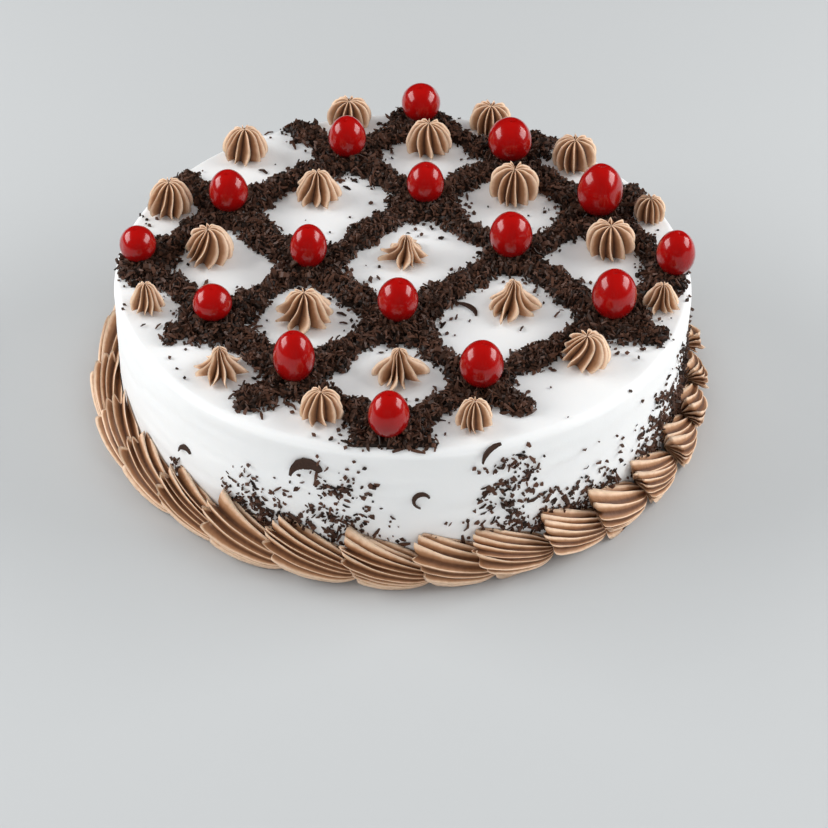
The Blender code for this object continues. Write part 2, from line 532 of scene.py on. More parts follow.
@dataclass(frozen=True)
class WhiteCream(Finish):
    """Whipped cream drawn smooth with a palette knife."""

    slot: str = "white_cream"
    colour: Colour = (0.90, 0.905, 0.895)
    roughness: float = 0.48
    shaded: Colour = (0.875, 0.885, 0.885)
    full: Colour = (0.915, 0.915, 0.905)

    def dress(self, dye: Dye) -> None:
        """Adds the knife's faint strokes, fine air bubbles and a little light inside.

        Args:
            dye: The material under construction.
        """
        dye.soften(0.12, 3 * MM, (1.0, 0.9, 0.8))
        dye.constants({"Specular IOR Level": 0.35})
        strokes = dye.bump(dye.grain(9 * MM, 3.0, (1, 1, 4)), 0.05 * MM)
        dye.bump(dye.grain(0.9 * MM, 2.0), 0.03 * MM, strokes)
        dye.paint(dye.blend(dye.grain(25 * MM), self.shaded, self.full))


@dataclass(frozen=True)
class ChocolateCream(Finish):
    """Piped chocolate cream, with painted shade in its grooves and a painted highlight along each
    ridge, which is partly the thin cream's own paler tone.
    """

    slot: str = "chocolate_cream"
    colour: Colour = (0.46, 0.27, 0.18)
    roughness: float = 0.52
    # The groove and flank colours are painted shade; the ridge colour is a painted highlight, partly
    # the thin cream's own paler tone.
    groove: Colour = (0.050, 0.018, 0.007)
    painted_flank_shade: Colour = (0.190, 0.080, 0.035)
    shoulder: Colour = (0.45, 0.238, 0.124)
    ridge: Colour = (0.98, 0.70, 0.50)

    def dress(self, dye: Dye) -> None:
        """Colours the cream by its ridges: painted shade in the grooves, a painted highlight on the
        ridges. Gives it pores.

        Args:
            dye: The material under construction.
        """
        dye.soften(0.10, 1.2 * MM, (1.0, 0.55, 0.3))
        dye.constants({"Specular IOR Level": 0.28})
        mottle = dye.grain(2.2 * MM, 3.0) - 0.5
        # The ramp paints shade into the grooves and a highlight along the ridges.
        ramp = dye.step("ShaderNodeValToRGB", {"Fac": dye.attribute("crest") + mottle * 0.20})
        stops = ramp.color_ramp.elements
        stops[0].color = (*self.groove, 1.0)
        stops[1].color = (*self.ridge, 1.0)
        stops[1].position = 0.92
        for place, colour in ((0.28, self.painted_flank_shade), (0.66, self.shoulder)):
            stops.new(place).color = (*colour, 1.0)
        dye.paint(ramp.outputs["Color"])
        rough = dye.bump(dye.grain(1.1 * MM, 3.0), 0.12 * MM)
        dye.bump(dye.pores(0.55 * MM), 0.05 * MM, rough)


@dataclass(frozen=True)
class CherryGlaze(Finish):
    """A glace cherry in syrup: deep red, with painted shade darkening its foot and random darker
    patches, under a clear wet coat.
    """

    slot: str = "glazed_cherry"
    colour: Colour = (0.50, 0.004, 0.006)
    roughness: float = 0.22
    # deep is painted shade at the foot, and bright the lit top.
    deep: Colour = (0.16, 0.001, 0.002)
    bright: Colour = (0.43, 0.003, 0.002)

    def dress(self, dye: Dye) -> None:
        """Adds the syrup, the skin's uneven colour and painted shade towards the foot.

        Args:
            dye: The material under construction.
        """
        dye.soften(0.10, 2 * MM, (1.0, 0.1, 0.1))
        dye.constants({"Coat Weight": 1.0, "Coat Roughness": 0.04, "Coat IOR": 1.32})
        dye.constants({"Specular IOR Level": 0.25})
        # Painted shade: darker towards the foot by height, with random patches from the grain.
        ripe = dye.attribute("ripe") + (dye.grain(7 * MM) - 0.5) * 0.6
        dye.paint(dye.blend(ripe, self.deep, self.bright))
        dye.bump(dye.grain(3.0 * MM, 2.0), 0.10 * MM)


@dataclass(frozen=True)
class GratedChocolate(Finish):
    """Dark chocolate: each shaving has its own shade, with a dull shine on its faces."""

    slot: str = "grated_chocolate"
    colour: Colour = (0.04, 0.02, 0.014)
    roughness: float = 0.50
    dark: Colour = (0.014, 0.007, 0.004)
    light: Colour = (0.118, 0.052, 0.031)

    def dress(self, dye: Dye) -> None:
        """Colours by the shade that each shaving carries, with a fine scraped grain.

        Args:
            dye: The material under construction.
        """
        dye.constants({"Specular IOR Level": 0.28})
        shade = dye.attribute("shade") + (dye.grain(0.8 * MM, 2.0) - 0.5) * 0.5
        dye.paint(dye.blend(shade, self.dark, self.light))
        dye.bump(dye.grain(0.35 * MM, 2.0), 0.04 * MM)


@dataclass(frozen=True)
class PaleFloor(Finish):
    """A plain pale studio floor."""

    slot: str = "floor"
    colour: Colour = (0.545, 0.56, 0.565)
    roughness: float = 0.7


# ---- what every piece shares ----


def register(piece: bpy.types.Object, slot: str, *nodes: str) -> None:
    """Puts a finished piece on the cake's body.

    Args:
        piece: The piece, in place.
        slot: The record's material slot it takes its finish from. It is not used.
        nodes: The solids that it stands for.
    """
    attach(piece, BODY)
    if nodes:
        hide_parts(*nodes)
    LOG.info("%s: %d faces", piece.name, len(piece.data.polygons))


def in_scene(name: str, data: bpy.types.ID) -> bpy.types.Object:
    """Adds an object to the scene.

    Args:
        name: The object's name.
        data: The mesh, light or camera that it holds.

    Returns:
        The object.
    """
    made = bpy.data.objects.new(name, data)
    bpy.context.scene.collection.objects.link(made)
    return made


def mesh_object(
    name: str,
    points: np.ndarray,
    faces: Sequence[Sequence[int]],
    material: bpy.types.Material,
    smooth: bool = True,
) -> bpy.types.Object:
    """Makes a mesh object from points and faces.

    Args:
        name: The object's name.
        points: Its points, in metres.
        faces: Each face's points, turning left as seen from outside.
        material: What it is made of.
        smooth: Whether it is shaded smooth.

    Returns:
        The object, in the scene.
    """
    mesh = bpy.data.meshes.new(name)
    mesh.from_pydata(points.tolist(), [], [list(map(int, face)) for face in faces])
    mesh.materials.append(material)
    if smooth:
        mesh.shade_smooth()
    return in_scene(name, mesh)


def mark(mesh: bpy.types.Mesh, name: str, values: np.ndarray) -> None:
    """Stores one number for each point, under a name."""
    layer = mesh.attributes.new(name, "FLOAT", "POINT")
    layer.data.foreach_set("value", values.astype(np.float32))


def face_outwards(mesh: bpy.types.Mesh, weld: float = 0.0, triangles: bool = False) -> None:
    """Turns a closed mesh's faces out.

    Args:
        mesh: The mesh.
        weld: Points closer than this are joined first.
        triangles: Whether its faces are cut into triangles.
    """
    bm = bmesh.new()
    bm.from_mesh(mesh)
    if weld:
        bmesh.ops.remove_doubles(bm, verts=bm.verts, dist=weld)
    bmesh.ops.recalc_face_normals(bm, faces=bm.faces)
    if triangles:
        bmesh.ops.triangulate(bm, faces=bm.faces)
    bm.to_mesh(mesh)
    bm.free()


def bar_faces(rings: int, corners: int) -> list[tuple[int, ...]]:
    """The faces of a closed bar: its sides and its two ends.

    Args:
        rings: How many rings of points run along it.
        corners: How many points each ring has.

    Returns:
        Each face's points.
    """
    around = [(k, (k + 1) % corners) for k in range(corners)]
    faces = []
    for ring in range(rings - 1):
        a, b = ring * corners, (ring + 1) * corners
        faces += [(a + k, a + n, b + n, b + k) for k, n in around]
    last = (rings - 1) * corners
    return [*faces, tuple(reversed(range(corners))), tuple(range(last, last + corners))]


def ripple(x: np.ndarray, y: np.ndarray, wave: float, seed: int, waves: int = 14) -> np.ndarray:
    """Soft unevenness over a plane, about -1 to 1, as a sum of waves in many directions.

    Args:
        x: Places along X.
        y: Places along Y.
        wave: The usual length of a wave, in the same unit.
        seed: Which unevenness it is.
        waves: How many waves are added.

    Returns:
        The unevenness at each place.
    """
    draw = random.Random(seed)
    total = np.zeros_like(np.asarray(x, float))
    for _ in range(waves):
        heading = draw.uniform(0, TURN)
        steep = TURN / (wave * draw.uniform(0.7, 1.5))
        total += np.sin(
            steep * (x * math.cos(heading) + y * math.sin(heading)) + draw.uniform(0, TURN)
        )
    return total / math.sqrt(waves) * 0.9


def middle_of(node: str) -> Vector:
    """The middle of a solid's foot."""
    low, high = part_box(node)
    return Vector(((low.x + high.x) / 2, (low.y + high.y) / 2, low.z))


def size_of(node: str) -> tuple[float, float]:
    """Half of a solid's mean width, and its height."""
    low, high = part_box(node)
    return (high.x - low.x + high.y - low.y) / 4, high.z - low.z


def cake_size() -> tuple[float, float]:
    """The radius of the drum of cream, and the height of its top."""
    low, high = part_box("cream_cake")
    return (high.x - low.x) / 2, high.z


def numbered(kind: str) -> list[str]:
    """The names of the frame's solids of one kind, such as cherry, in order."""
    return sorted(name for name in frame["nodes"] if name.startswith(kind + "_"))


# ---- the cream ----


@dataclass
class CakeBody:
    """The drum of cream: a flat top, a soft rim and a wall drawn smooth by the knife."""

    material: bpy.types.Material
    slices: int = 360
    rim: float = 3.4 * MM
    rim_rows: int = 9
    wall_rows: int = 46
    top_rows: int = 34
    wall_relief: float = 0.20 * MM
    top_relief: float = 0.22 * MM

    def profile(self, radius: float, height: float) -> list[tuple[float, float]]:
        """Half of the cake's outline, from the middle of the top to the middle below.

        Args:
            radius: The drum's radius.
            height: The drum's height.

        Returns:
            (radius, height) at each point.
        """
        flat = [(radius - self.rim) * k / self.top_rows for k in range(self.top_rows + 1)]
        over = [(r, height) for r in flat]
        inner, drop = radius - self.rim, height - self.rim
        for k in range(1, self.rim_rows + 1):
            turn = math.pi / 2 * k / self.rim_rows
            over.append((inner + self.rim * math.sin(turn), drop + self.rim * math.cos(turn)))
        down = [(radius, drop * (1 - k / self.wall_rows)) for k in range(1, self.wall_rows + 1)]
        return [*over, *down, (radius * 0.5, 0.0), (0.0, 0.0)]

    def build(self) -> None:
        """Turns the profile, with relief that only takes cream away."""
        radius, height = cake_size()
        outline = np.array(self.profile(radius, height))
        angles = np.arange(self.slices) * TURN / self.slices
        r, angle = np.meshgrid(outline[:, 0], angles, indexing="ij")
        z = np.repeat(outline[:, 1:2], self.slices, axis=1)
        round_it = angle * radius
        wall = (z < height - 0.1 * MM) & (r > radius * 0.9)
        band = ripple(round_it * 0.35, z, 26 * MM, 3) + 0.4 * ripple(round_it * 0.2, z, 7 * MM, 4)
        # The waves must meet where the turn closes.
        fade = np.clip(np.minimum(angle, TURN - angle) / 0.35, 0, 1)
        band = band * fade * fade * (3 - 2 * fade)
        r = np.where(wall, r - self.wall_relief * (1 + np.clip(band, -1, 1)), r)
        x, y = r * np.cos(angle), r * np.sin(angle)
        dip = self.top_relief * (1 + np.clip(ripple(x, y, 34 * MM, 5), -1, 1))
        z = np.where(z > height - 0.6 * self.rim, z - dip, z)
        points = np.stack([x, y, z], axis=-1).reshape(-1, 3)
        faces = []
        for a in range(0, (len(outline) - 1) * self.slices, self.slices):
            b = a + self.slices
            for k in range(self.slices):
                n = (k + 1) % self.slices
                faces.append((a + k, b + k, b + n, a + n))
        cream = mesh_object("cream_coat", points, faces, self.material)
        face_outwards(cream.data, weld=WELD)
        register(cream, "white_cream", "cream_cake")


# ---- piped cream ----


class PipingRecipe(Recipe):
    """What rosettes and shells share: cream pressed through a star nozzle."""

    def star(self, around: Field, ridges: Field) -> tuple[Field, Field, Field]:
        """The nozzle's ridges round a section.

        Args:
            around: The place round the section, from 0 to 1.
            ridges: How many ridges there are.

        Returns:
            The angle, with points drawn closer at each ridge; how near the point is to a
            ridge, 1 on it and 0 in the middle of a groove; and which ridge that is.
        """
        place = around * ridges
        phase = place.fraction()
        near = (phase * 2.0 - 1.0).size()
        ridge = (place + 0.5).whole().remainder(ridges)
        shift = (phase * TURN).sin() * (0.5 / TURN)
        return (around - shift / ridges) * TURN, near, ridge

    def wander(self, angle: Field, first: Field, second: Field, size: float) -> Field:
        """Slow unevenness of the angle round a section.

        Args:
            angle: The angle.
            first: Where the wave with two crests starts.
            second: Where the wave with three crests starts.
            size: The height of the first wave.

        Returns:
            What is added to the angle.
        """
        return (angle * 2.0 + first).sin() * size + (angle * 3.0 + second).sin() * 0.07

class RosetteRecipe(PipingRecipe):
    """A drop of piped cream, from a closed dome to a star that spreads at its foot."""

    # (how far up, the reach or rise there) for the two forms that a rosette lies between
    DOME_REACH = (
        (0.0, 0.84), (0.14, 0.95), (0.34, 1.0), (0.60, 0.86), (0.80, 0.55), (0.92, 0.27), (1.0, 0.0),
    )
    DOME_RISE = (
        (0.0, 0.0), (0.14, 0.14), (0.34, 0.40), (0.60, 0.72), (0.80, 0.92), (0.92, 0.98), (1.0, 0.93),
    )
    STAR_REACH = (
        (0.0, 0.95), (0.08, 1.0), (0.22, 0.89), (0.42, 0.61), (0.62, 0.35), (0.80, 0.25), (1.0, 0.0),
    )
    STAR_RISE = (
        (0.0, 0.0), (0.08, 0.08), (0.22, 0.21), (0.42, 0.39), (0.62, 0.60), (0.80, 0.86), (1.0, 1.0),
    )

    def __init__(self, material: bpy.types.Material) -> None:
        """Builds the tree.

        Args:
            material: The cream.
        """
        super().__init__("piped_rosette")
        columns, rows = self.ask("Columns", "Int"), self.ask("Rows", "Int")
        radius, height = self.ask("Radius"), self.ask("Height")
        ridges, groove = self.ask("Ridges"), self.ask("Groove")
        twist, flare = self.ask("Twist"), self.ask("Flare")
        lean, seed = self.ask("Lean"), self.ask("Seed")
        sheet, around, up = self.grid(columns, rows)
        angle, near, ridge = self.star(around, ridges)
        reach = self.curve(up, self.DOME_REACH).mix(self.curve(up, self.STAR_REACH), flare)
        rise = self.curve(up, self.DOME_RISE).mix(self.curve(up, self.STAR_RISE), flare)
        capped = up.above(0.5 / 60)
        free = 1.0 - up
        # A ridge is thin with hollow sides, but where a star spreads it swells to a petal.
        thin = near**2.0
        petal = near**1.2
        crest = thin.mix(petal, flare * free * free)
        own = self.draw(-0.13, 0.08, ridge, seed + 3.0)
        cut = groove * (0.85 + flare * free * 0.35) * (1.0 - crest)
        uneven = 1.0 + own * near * (0.35 + flare * free * 1.4)
        out = radius * reach * (1.0 - cut) * uneven * capped
        sway = (up * 6.0 + self.draw(0.0, 6.0, ridge, seed)).sin() * (0.05 + flare * 0.24) * free
        wander = self.wander(angle, seed * 2.4, seed * 5.1, 0.09)
        turned = angle + wander + sway * near + twist * rise + lean * near * near * free
        tuft = (up * 12.0).sin() * near * self.draw(-0.02, 0.05, ridge, seed + 1.0) * rise
        sag = (1.0 - crest) * groove * rise * -0.14
        high = (rise + sag + tuft) * height
        place = self.join(out * turned.cos(), out * turned.sin(), high.at_least(0.0))
        # Nearness to a ridge is kept as crest, for the painted shade in the grooves and the painted
        # highlight on the ridges.
        marked = self.keep(sheet, "crest", near)
        self.end(self.skin(marked, place), material)


class RosetteForm(Enum):
    """How a rosette was piped: (flare, groove depth, ridges)."""

    DOME = (0.0, 0.42, 12)
    SWIRL = (0.25, 0.44, 12)
    SKIRT = (0.55, 0.50, 11)
    STAR = (1.0, 0.60, 11)


@dataclass
class Rosettes:
    """The rosettes in the openings of the lattice and round the rim.

    Each look is a form, and how far the ridges turn from foot to tip, in degrees.
    """

    material: bpy.types.Material
    looks: Sequence[tuple[RosetteForm, float]]
    columns_a_ridge: int = 12
    rows: int = 60
    lean: float = 0.16

    def build(self) -> None:
        """Makes each rosette over its solid."""
        recipe = RosetteRecipe(self.material)
        for number, (node, (form, twist)) in enumerate(zip(numbered("rosette"), self.looks), 1):
            radius, height = size_of(node)
            flare, groove, ridges = form.value
            sizes = {
                "Columns": ridges * self.columns_a_ridge,
                "Rows": self.rows,
                "Radius": radius,
                "Height": height,
                "Ridges": float(ridges),
                "Groove": groove,
                "Twist": math.radians(twist),
                "Flare": flare,
                "Lean": self.lean,
                "Seed": float(number),
            }
            piece = recipe.make(f"piped_{node}", sizes)
            piece.data.transform(Matrix.Translation(middle_of(node)))
            face_outwards(piece.data)
            register(piece, "chocolate_cream", node)


class ShellRecipe(PipingRecipe):
    """A rope of shells: each fans out at its head and runs to a tail under the next head."""

    # Along a shell: where each ring lies, in shells; how far it spreads; how loose its ridges are
    PLACE = (
        (0.0, 0.0), (0.07, -0.10), (0.16, -0.15), (0.28, -0.10),
        (0.42, 0.06), (0.62, 0.40), (0.82, 0.78), (1.0, 1.12),
    )
    SPREAD = (
        (0.0, 0.0), (0.06, 0.54), (0.14, 0.87), (0.26, 1.0),
        (0.42, 0.97), (0.62, 0.84), (0.84, 0.60), (1.0, 0.0),
    )
    LOOSE = (
        (0.0, 0.45), (0.10, 0.95), (0.22, 1.0), (0.40, 0.85), (0.60, 0.50), (0.80, 0.25), (1.0, 0.05),
    )
    FOREMOST = math.radians(50)
    LATER = 0.34
    MIDDLE = ((0.0, 1.08), (0.25, 1.04), (0.60, 0.74), (1.0, 0.36))

    def __init__(self, material: bpy.types.Material) -> None:
        """Builds the tree.

        Args:
            material: The cream.
        """
        super().__init__("piped_shells")
        columns, rows = self.ask("Columns", "Int"), self.ask("Rows", "Int")
        count, first, of_all = self.ask("Count", "Int"), self.ask("First"), self.ask("Of all")
        start, stretch, side = self.ask("Start"), self.ask("Stretch"), self.ask("Stretch side")
        wall, axis = self.ask("Wall radius"), self.ask("Axis height")
        out, up, down = self.ask("Reach out"), self.ask("Reach up"), self.ask("Reach down")
        ridges, groove, finger = self.ask("Ridges"), self.ask("Groove"), self.ask("Finger")
        sheet, around, along = self.grid(columns, rows)
        line = self.value("GeometryNodeMeshLine", {"Count": count, "Offset": (0.0, 0.0, 0.0)})
        copies = self.value("GeometryNodeInstanceOnPoints", {"Points": line, "Instance": sheet})
        index = self.value("GeometryNodeInputIndex")
        counted = self.keep(copies, "shell", index, "INSTANCE")
        real = self.value("GeometryNodeRealizeInstances", {"Geometry": counted})
        shell = self.recall("shell") + first
        bulk, roll = self.draw(0.93, 1.04, shell, 1), self.draw(-0.20, 0.20, shell, 2)
        shift = self.draw(-0.07, 0.07, shell, 3)
        angle, near, ridge = self.star(around, ridges)
        key = ridge + shell * 40.0
        spread, loose = self.curve(along, self.SPREAD), self.curve(along, self.LOOSE)
        crest = near ** (along * 1.1 + 1.15)
        full = 1.0 - (1.0 - near) ** 2.0
        own = self.draw(-0.16, 0.08, key, 4) * near * (0.4 + loose * 0.6)
        uneven = self.wander(angle, shell * 2.3, shell * 4.1, 0.10)
        fold = self.draw(0.04, 0.30, key, 5) * near * near * loose
        even_slant = angle + uneven + roll + fold + (1.0 - along) * 0.40
        # The ridges on top are wide loops, and those below are narrow.
        slant = even_slant - even_slant.cos() * 0.40
        lift = slant.sin()
        # One side was piped more softly, with wide low ridges.
        soft = 1.0 - (shell / of_all * TURN + 0.2).cos().at_least(0.0) * 0.40
        deep = groove * soft * (0.42 + lift.size() * 0.58) * (0.45 + loose * 0.55)
        section = spread * bulk * (1.0 - deep * (1.0 - crest)) * (1.0 + own)
        above = lift.above(0.0)
        tall = section * lift * (above * up + (1.0 - above) * down)
        middle = self.curve(along, self.MIDDLE)
        high = (axis * middle + tall).at_least(0.0)
        off = (1.0 - middle) * 2.5 * MM
        wide = (wall + 0.9 * MM + off + section * slant.cos() * out).at_least(wall)
        ahead = self.curve(along, self.PLACE) - finger * full * loose * self.draw(0.5, 1.3, key, 6)
        # The foremost loop stands above the outer side: those beside it begin later.
        later = (1.0 - (slant - self.FOREMOST).cos()) * spread * (1.0 - along) * self.LATER
        even = (shell + ahead + later + shift) / of_all * TURN
        theta = even + start + stretch * (even - side).sin()
        place = self.join(wide * theta.cos(), wide * theta.sin(), high)
        # Nearness to a ridge is kept as crest, for the painted shade in the grooves and the painted
        # highlight on the ridges.
        marked = self.keep(real, "crest", near)
        self.end(self.skin(marked, place), material)


@dataclass
class ShellBorder:
    """The piped border round the cake's foot."""

    material: bpy.types.Material
    shells: int = 32
    quarters: int = 4
    start: float = math.radians(1.0)
    stretch: float = math.radians(7.0)
    stretch_side: float = math.radians(-120)
    ridges: int = 24
    columns_a_ridge: int = 7
    rows: int = 36
    groove: float = 0.52
    finger: float = 0.13
    gap: float = 0.15 * MM
    axis_share: float = 0.46

    def build(self) -> None:
        """Makes the rope in quarters, so that no piece is too heavy."""
        wall = cake_size()[0] + self.gap
        low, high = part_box("shell_border")
        top, reach = high.z, (high.x - low.x) / 2
        recipe = ShellRecipe(self.material)
        each = self.shells // self.quarters
        sizes = {
            "Columns": self.ridges * self.columns_a_ridge,
            "Rows": self.rows,
            "Count": each,
            "Of all": float(self.shells),
            "Start": self.start,
            "Stretch": self.stretch,
            "Stretch side": self.stretch_side,
            "Wall radius": wall,
            "Axis height": top * self.axis_share,
            "Reach out": reach - wall - 0.6 * MM,
            "Reach up": top * (1 - self.axis_share) * 1.02,
            "Reach down": top * self.axis_share * 1.15,
            "Ridges": float(self.ridges),
            "Groove": self.groove,
            "Finger": self.finger,
        }
        for quarter in range(self.quarters):
            name = f"piped_border_{quarter + 1}"
            piece = recipe.make(name, sizes | {"First": float(quarter * each)})
            face_outwards(piece.data)
            register(piece, "chocolate_cream", *(["shell_border"] if quarter == 0 else []))


# ---- cherries ----


@dataclass
class Cherries:
    """The glazed cherries, each a little different from the next."""

    material: bpy.types.Material
    slices: int = 56
    rings: int = 40
    fuller_low: float = 0.05
    wider: float = 1.02
    stem_dent: float = 0.10
    lean: float = math.radians(9)

    def build(self) -> None:
        """Makes each cherry inside its solid's box."""
        for number, node in enumerate(numbered("cherry"), 1):
            radius, height = size_of(node)
            register(self.cherry(number, node, radius * self.wider, height), "glazed_cherry", node)

    def cherry(self, number: int, node: str, radius: float, height: float) -> bpy.types.Object:
        """Makes one cherry.

        Args:
            number: Which cherry it is, which sets its unevenness.
            node: The solid it stands for.
            radius: Half its width.
            height: Its height.

        Returns:
            The cherry.
        """
        draw = random.Random(100 + number)
        bm = bmesh.new()
        bmesh.ops.create_uvsphere(bm, u_segments=self.slices, v_segments=self.rings, radius=1.0)
        dent_turn, dent_high = draw.uniform(0, TURN), draw.uniform(0.1, 0.6)
        dent = Vector((math.cos(dent_turn), math.sin(dent_turn), dent_high)).normalized()
        depth = draw.choice((0.0, 0.03, 0.05, 0.07))
        waves = []
        for _ in range(3):
            waves.append((draw.randint(2, 4), draw.uniform(0, TURN), draw.uniform(0.006, 0.016)))
        for vert in bm.verts:
            way = vert.co.copy()
            turn = math.atan2(way.y, way.x)
            level = math.hypot(way.x, way.y)
            swell = 1 - self.fuller_low * way.z
            swell += level * sum(high * math.sin(n * turn + shift) for n, shift, high in waves)
            swell -= depth * math.exp(-((way - dent).length_squared) / 0.05)
            stem = self.stem_dent * math.exp(-(level**2) / 0.02) if way.z > 0 else 0.0
            vert.co = Vector((way.x * swell, way.y * swell, way.z - stem))
        lean = Euler((draw.uniform(-1, 1) * self.lean, draw.uniform(-1, 1) * self.lean, 0))
        bm.transform(lean.to_matrix().to_4x4())
        low = [min(v.co[k] for v in bm.verts) for k in range(3)]
        high = [max(v.co[k] for v in bm.verts) for k in range(3)]
        foot = middle_of(node)
        for vert in bm.verts:
            share = [(vert.co[k] - low[k]) / (high[k] - low[k]) for k in range(3)]
            vert.co = foot + Vector(
                ((share[0] * 2 - 1) * radius, (share[1] * 2 - 1) * radius, share[2] * height)
            )
        # The mesh carries how high each point is, for the painted shade that darkens the foot.
        mesh = bpy.data.meshes.new(f"glazed_{node}")
        bm.to_mesh(mesh)
        bm.free()
        mesh.materials.append(self.material)
        mesh.shade_smooth()
        level = np.array([vert.co.z for vert in mesh.vertices])
        mark(mesh, "ripe", (level - foot.z) / height)
        return in_scene(mesh.name, mesh)


# ---- the grated chocolate ----


@dataclass
class Lattice:
    """Where the grated chocolate lies on the top: four bent lines each way, and heaps."""

    crossings: np.ndarray
    hollows: Sequence[tuple[float, float, float]]
    width: float = 11.0 * MM
    heap: float = 12.5 * MM
    reach: float = 105.0 * MM
    rise: float = 3.4 * MM
    past_rim: float = 60 * MM * math.sqrt(0.5)
    front_end: tuple[float, float] = (14.1 * MM, 9.6 * MM)

    @classmethod
    def from_frame(cls) -> "Lattice":
        """Reads the crossings from the cherries that stand on them.

        Returns:
            The lattice.
        """
        spots = [middle_of(node).xy for node in numbered("cherry")]
        count = math.isqrt(len(spots))
        hollows = []
        for node in numbered("rosette"):
            low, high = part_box(node)
            hollows.append((*middle_of(node).xy, (high.x - low.x) / 2))
        return cls(np.array(spots).reshape(count, count, 2), hollows)

    def routes(self) -> list[np.ndarray]:
        """Where the lines run: from past the rim behind, over the crossings, to a short end.

        Returns:
            Each line's corners.
        """
        past = self.past_rim
        short, flat = self.front_end
        found = []
        for line in self.crossings:
            found.append(np.vstack([line[0] - (past, -past), line, line[-1] + (short, -flat)]))
        for line in self.crossings.transpose(1, 0, 2):
            found.append(np.vstack([line[0] - (short, flat), line, line[-1] + (past, past)]))
        return found

    def bank(self, x: np.ndarray, y: np.ndarray, route: np.ndarray, number: int) -> np.ndarray:
        """The cover that one line gives.

        Args:
            x: Places along X.
            y: Places along Y.
            route: The line's corners.
            number: Which line it is, which sets its unevenness.

        Returns:
            1 on the line, 0 at its edge, and less outside it.
        """
        best = np.full_like(x, -9.0)
        gone = 0.0
        for start, end in zip(route, route[1:]):
            length = float(np.hypot(*(end - start)))
            ahead = (end - start) / length
            along = np.clip((x - start[0]) * ahead[0] + (y - start[1]) * ahead[1], 0, length)
            walked = gone + along
            nothing = np.zeros_like(walked)
            bend = 0.9 * MM * ripple(walked, nothing, 30 * MM, 30 + number)
            away = np.hypot(
                x - start[0] - along * ahead[0] + bend * ahead[1],
                y - start[1] - along * ahead[1] - bend * ahead[0],
            )
            half = self.width / 2 * (1 + 0.28 * ripple(walked, nothing, 17 * MM, 50 + number))
            best = np.maximum(best, 1 - (away / np.maximum(half, 1.5 * MM)) ** 2)
            gone += length
        return best

    def cover(self, x: np.ndarray, y: np.ndarray) -> np.ndarray:
        """How much chocolate lies at each place.

        Args:
            x: Places along X.
            y: Places along Y.

        Returns:
            1 in the middle of a line, 0 at its edge, and less outside it.
        """
        parts = [self.bank(x, y, route, number) for number, route in enumerate(self.routes())]
        for number, (spot_x, spot_y) in enumerate(self.crossings.reshape(-1, 2)):
            heap = self.heap * (1 + 0.14 * math.sin(number * 2.4))
            parts.append(1 - ((x - spot_x) ** 2 + (y - spot_y) ** 2) / heap**2)
        firm = 5.0
        total = np.log(sum(np.exp(firm * np.clip(part, -3, 1)) for part in parts)) / firm - 0.10
        total = total + 0.31 * ripple(x, y, 6 * MM, 21) + 0.23 * ripple(x, y, 2.8 * MM, 22)
        for place_x, place_y, radius in self.hollows:
            away = np.hypot(x - place_x, y - place_y) - radius
            total = np.minimum(total, away / (2.5 * MM))
        return np.minimum(total, (self.reach - np.hypot(x, y)) / (3 * MM))

    def height(self, x: np.ndarray, y: np.ndarray) -> np.ndarray:
        """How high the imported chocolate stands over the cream.

        Args:
            x: Places along X.
            y: Places along Y.

        Returns:
            The height in metres, 0 where there is none.
        """
        body = np.sqrt(np.clip(self.cover(x, y), 0, 1))
        lumps = 1 + 0.30 * ripple(x, y, 7 * MM, 23) + 0.20 * ripple(x, y, 2.8 * MM, 24)
        return self.rise * body * np.clip(lumps, 0.35, 1.7)


class Shaving(Enum):
    """The kinds of shaving in grated chocolate."""

    SLIVER = "sliver"
    FLAKE = "flake"
    CRUMB = "crumb"
    CURL = "curl"


@dataclass(frozen=True)
class ShavingCut:
    """One kind's sizes, in metres, and how thickly it lies.

    Density is for each square metre of full cover. The last four fields are its share on
    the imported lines, just beside them, far from them and on the wall.
    """

    kind: Shaving
    length: float
    width: float
    thickness: float
    variants: int
    density: float
    smallest: float
    largest: float
    pile: float
    fringe: float
    far: float
    wall: float

    @property
    def share(self) -> str:
        """The name under which the bed carries this kind's share."""
        return f"share_{self.kind.value}"


